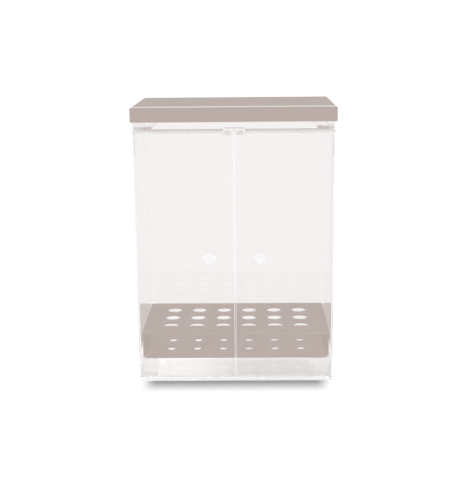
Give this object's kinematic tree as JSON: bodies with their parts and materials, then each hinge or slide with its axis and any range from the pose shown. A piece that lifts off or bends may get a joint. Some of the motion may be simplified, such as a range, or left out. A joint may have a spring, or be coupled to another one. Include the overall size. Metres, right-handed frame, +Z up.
{
  "type": "queen cage",
  "caption": "Clear upright cabinet cage with hinged front doors, a lift-off lid and a perforated rack that holds queen cells upright.",
  "frame": {"origin": "centre of the base panel's underside, on the surface that the cage stands on", "axes": "+Z up, -Y out of the doors, +X to the right as seen from the front"},
  "size_m": [0.15, 0.1045, 0.2084],
  "materials": {
    "clear_acrylic": "clear polished acrylic",
    "taupe_plastic": "fine satin",
    "taupe_coated_sheet": "satin powder coat",
    "pin_steel": "ground",
    "nickel_plate": "bright nickel"
  },
  "bodies": {
    "cabinet": {"base_panel": "clear_acrylic", "left_wall": "clear_acrylic", "right_wall": "clear_acrylic", "rear_wall": "clear_acrylic", "top_frame": "clear_acrylic", "front_header": "clear_acrylic", "catch_block": "clear_acrylic", "left_catch_magnet": "nickel_plate", "right_catch_magnet": "nickel_plate", "front_left_support": "clear_acrylic", "front_right_support": "clear_acrylic", "rear_left_support": "clear_acrylic", "rear_right_support": "clear_acrylic"},
    "left_door": {"left_door_leaf": "clear_acrylic", "left_knob": "clear_acrylic", "left_door_magnet": "nickel_plate", "left_upper_hinge_pin": "pin_steel", "left_lower_hinge_pin": "pin_steel"},
    "right_door": {"right_door_leaf": "clear_acrylic", "right_knob": "clear_acrylic", "right_door_magnet": "nickel_plate", "right_upper_hinge_pin": "pin_steel", "right_lower_hinge_pin": "pin_steel"},
    "lid": {"lid": "taupe_plastic"},
    "rack": {"rack_upper_plate": "taupe_coated_sheet", "rack_lower_tray": "taupe_coated_sheet", "rack_rivet_front_left": "taupe_coated_sheet", "rack_rivet_front_right": "taupe_coated_sheet", "rack_rivet_rear_left": "taupe_coated_sheet", "rack_rivet_rear_right": "taupe_coated_sheet"}
  },
  "joints": [
    {"name": "left_door_hinge", "type": "hinge", "parent": "cabinet", "child": "left_door", "pos_m": [-0.07225, -0.04615, 0.0965], "axis": [0, 0, -1], "range_deg": [0, 180]},
    {"name": "right_door_hinge", "type": "hinge", "parent": "cabinet", "child": "right_door", "pos_m": [0.07225, -0.04615, 0.0965], "axis": [0, 0, 1], "range_deg": [0, 180]},
    {"name": "lid_lift", "type": "slide", "parent": "cabinet", "child": "lid", "axis": [0, 0, 1], "range_m": [0, 0.06]},
    {"name": "rack_lift", "type": "slide", "parent": "cabinet", "child": "rack", "axis": [0, 0, 1], "range_m": [0, 0.146]}
  ]
}
